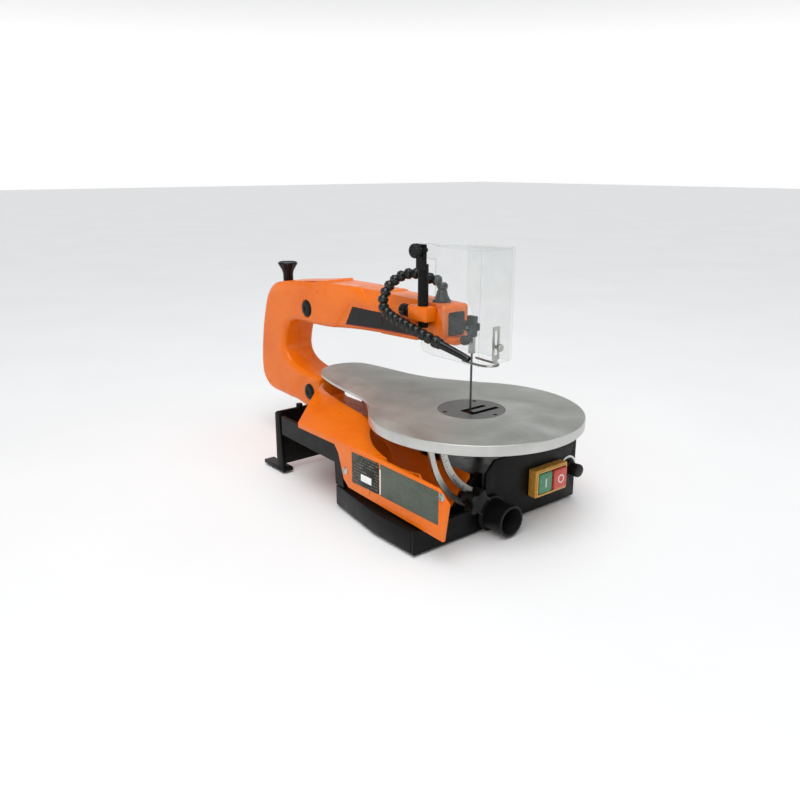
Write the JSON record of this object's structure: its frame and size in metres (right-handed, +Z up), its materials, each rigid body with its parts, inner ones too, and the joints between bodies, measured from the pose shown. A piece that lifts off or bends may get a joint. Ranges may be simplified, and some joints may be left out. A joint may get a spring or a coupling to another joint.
{
  "type": "scroll saw",
  "caption": "Bench scroll saw: C-shaped arm housing with parallel rocking arms, a tilting round-nosed table, a clear blade guard, a segmented blower arm and a dust port.",
  "frame": {"origin": "centre of the overall box on the bench plane, under the machine", "axes": "+X towards the operator's right as they face the blade, +Y towards the rear of the arm, +Z up"},
  "size_m": [0.2675, 0.586, 0.32],
  "materials": {
    "orange_enamel": "gloss orange enamel",
    "black_enamel": "satin black enamel",
    "black_plastic": "moulded black plastic",
    "rubber": "matt rubber",
    "table_aluminium": "ground cast aluminium",
    "steel": "bright machined steel",
    "zinc_plate": "zinc plated sheet steel",
    "bearing_bronze": "sintered bronze",
    "clear_plastic": null,
    "switch_yellow": "yellow moulded plastic",
    "button_green": "green moulded plastic",
    "button_red": "red moulded plastic"
  },
  "bodies": {
    "base": {"base_tray": "black_enamel", "front_panel": "black_enamel", "rear_stand": "black_enamel", "rear_rail_left": "black_enamel", "rear_rail_right": "black_enamel", "foot_front_left": "rubber", "foot_front_right": "rubber", "foot_rear_left": "rubber", "foot_rear_right": "rubber", "frame_left": "orange_enamel", "frame_right": "orange_enamel", "side_cover_left": "orange_enamel", "side_cover_right": "orange_enamel", "upper_pivot_cap_left": "black_plastic", "upper_pivot_cap_right": "black_plastic", "lower_pivot_cap_left": "black_plastic", "lower_pivot_cap_right": "black_plastic", "upper_pivot_pin": "steel", "lower_pivot_pin": "steel", "cover_screw_front": "zinc_plate", "cover_screw_rear": "zinc_plate", "motor_housing": "black_enamel", "air_bellows": "rubber", "power_inlet": "rubber", "tilt_bracket": "black_enamel", "dust_port": "black_plastic", "switch_frame": "switch_yellow", "post_block": "orange_enamel"},
    "upper_rocker": {"upper_arm": "steel", "upper_bearing": "bearing_bronze"},
    "lower_rocker": {"lower_arm": "steel", "lower_bearing": "bearing_bronze"},
    "blade_unit": {"blade": "steel", "upper_blade_holder": "steel", "lower_blade_holder": "steel", "upper_blade_pin": "steel", "lower_blade_pin": "steel"},
    "upper_thumb_screw": {"upper_clamp_screw": "black_plastic"},
    "lower_thumb_screw": {"lower_clamp_screw": "black_plastic"},
    "tensioner": {"tension_rod": "steel"},
    "tension_handle": {"tension_knob": "black_plastic"},
    "rotor": {"motor_rotor": "steel"},
    "crank_link": {"connecting_rod": "table_aluminium"},
    "table_unit": {"table": "table_aluminium", "table_insert": "table_aluminium", "tilt_trunnion": "zinc_plate"},
    "tilt_lock": {"tilt_lock_knob": "black_plastic"},
    "speed_control": {"speed_knob": "black_plastic"},
    "start_switch": {"start_button": "button_green"},
    "stop_switch": {"stop_button": "button_red"},
    "post": {"guard_post": "black_enamel"},
    "post_lock": {"post_lock_knob": "black_plastic"},
    "guard": {"blade_guard": "clear_plastic"},
    "guard_lock": {"guard_knob": "black_plastic"},
    "hold_down": {"hold_down_bar": "zinc_plate", "hold_down_foot": "steel"},
    "hold_down_lock": {"hold_down_screw": "black_plastic"},
    "blower": {"hose_base": "black_plastic", "blower_hose": "black_plastic", "blower_nozzle": "black_plastic"}
  },
  "joints": [
    {"name": "upper_arm_rock", "type": "hinge", "parent": "base", "child": "upper_rocker", "pos_m": [0.00325, 0.15246, 0.209], "axis": [1, 0, 0], "range_deg": [-1.5, 1.5]},
    {"name": "lower_arm_rock", "type": "hinge", "parent": "base", "child": "lower_rocker", "pos_m": [0.00325, 0.15246, 0.085], "axis": [1, 0, 0], "range_deg": [-1.6, 1.6]},
    {"name": "blade_stroke", "type": "slide", "parent": "base", "child": "blade_unit", "axis": [0, 0, 1], "range_m": [-0.0085, 0.0085]},
    {"name": "upper_clamp_turn", "type": "hinge", "parent": "blade_unit", "child": "upper_thumb_screw", "pos_m": [-0.00575, -0.15904, 0.2125], "axis": [1, 0, 0], "range_deg": [0, 360]},
    {"name": "lower_clamp_turn", "type": "hinge", "parent": "blade_unit", "child": "lower_thumb_screw", "pos_m": [0.01225, -0.15904, 0.1085], "axis": [1, 0, 0], "range_deg": [0, 360]},
    {"name": "tension_rod_slide", "type": "slide", "parent": "base", "child": "tensioner", "axis": [0, 0, 1], "range_m": [-0.0026, 0.0026]},
    {"name": "tension_knob_turn", "type": "hinge", "parent": "tensioner", "child": "tension_handle", "pos_m": [0.00325, 0.24346, 0.24], "axis": [0, 0, 1], "range_deg": [-360, 360]},
    {"name": "motor_spin", "type": "hinge", "parent": "base", "child": "rotor", "pos_m": [0.00325, 0.04046, 0.044], "axis": [1, 0, 0], "continuous": true},
    {"name": "crank_link_slide", "type": "slide", "parent": "base", "child": "crank_link", "axis": [0, 0, 1], "range_m": [-0.0032, 0.0032]},
    {"name": "table_tilt", "type": "hinge", "parent": "base", "child": "table_unit", "pos_m": [0.00325, -0.15954, 0.128], "axis": [0, -1, 0], "range_deg": [0, 38]},
    {"name": "tilt_lock_turn", "type": "hinge", "parent": "base", "child": "tilt_lock", "pos_m": [-0.05235, -0.21954, 0.0485], "axis": [0, 1, 0], "range_deg": [-180, 180]},
    {"name": "speed_knob_turn", "type": "hinge", "parent": "base", "child": "speed_control", "pos_m": [0.11785, -0.22954, 0.044], "axis": [0, 1, 0], "range_deg": [0, 270]},
    {"name": "start_press", "type": "slide", "parent": "base", "child": "start_switch", "axis": [0, 1, 0], "range_m": [0, 0.0022], "stiffness_N_per_m": 600, "springref_m": -0.0015},
    {"name": "stop_press", "type": "slide", "parent": "base", "child": "stop_switch", "axis": [0, 1, 0], "range_m": [0, 0.0022], "stiffness_N_per_m": 600, "springref_m": -0.0015},
    {"name": "post_height", "type": "slide", "parent": "base", "child": "post", "axis": [0, 0, 1], "range_m": [-0.024, 0]},
    {"name": "post_lock_turn", "type": "hinge", "parent": "base", "child": "post_lock", "pos_m": [-0.02475, -0.07954, 0.238], "axis": [0, 1, 0], "range_deg": [-180, 180]},
    {"name": "guard_swing", "type": "hinge", "parent": "post", "child": "guard", "pos_m": [-0.02245, -0.10454, 0.312], "axis": [1, 0, 0], "range_deg": [-75, 0]},
    {"name": "guard_lock_turn", "type": "hinge", "parent": "post", "child": "guard_lock", "pos_m": [-0.03125, -0.10454, 0.312], "axis": [1, 0, 0], "range_deg": [-180, 180]},
    {"name": "hold_down_height", "type": "slide", "parent": "guard", "child": "hold_down", "axis": [0, 0, 1], "range_m": [-0.014, 0]},
    {"name": "hold_down_lock_turn", "type": "hinge", "parent": "guard", "child": "hold_down_lock", "pos_m": [0.00725, -0.19854, 0.209], "axis": [0, 1, 0], "range_deg": [-180, 180]},
    {"name": "blower_swivel", "type": "hinge", "parent": "base", "child": "blower", "pos_m": [0.00325, -0.10654, 0.25], "axis": [0, 0, 1], "range_deg": [-8, 0]}
  ],
  "couplings": [
    {"joint": "lower_arm_rock", "follows": "upper_arm_rock", "ratio": 1},
    {"joint": "blade_stroke", "follows": "upper_arm_rock", "m_per_rad": -0.312},
    {"joint": "tension_rod_slide", "follows": "upper_arm_rock", "m_per_rad": 0.091},
    {"joint": "crank_link_slide", "follows": "upper_arm_rock", "m_per_rad": -0.112}
  ]
}
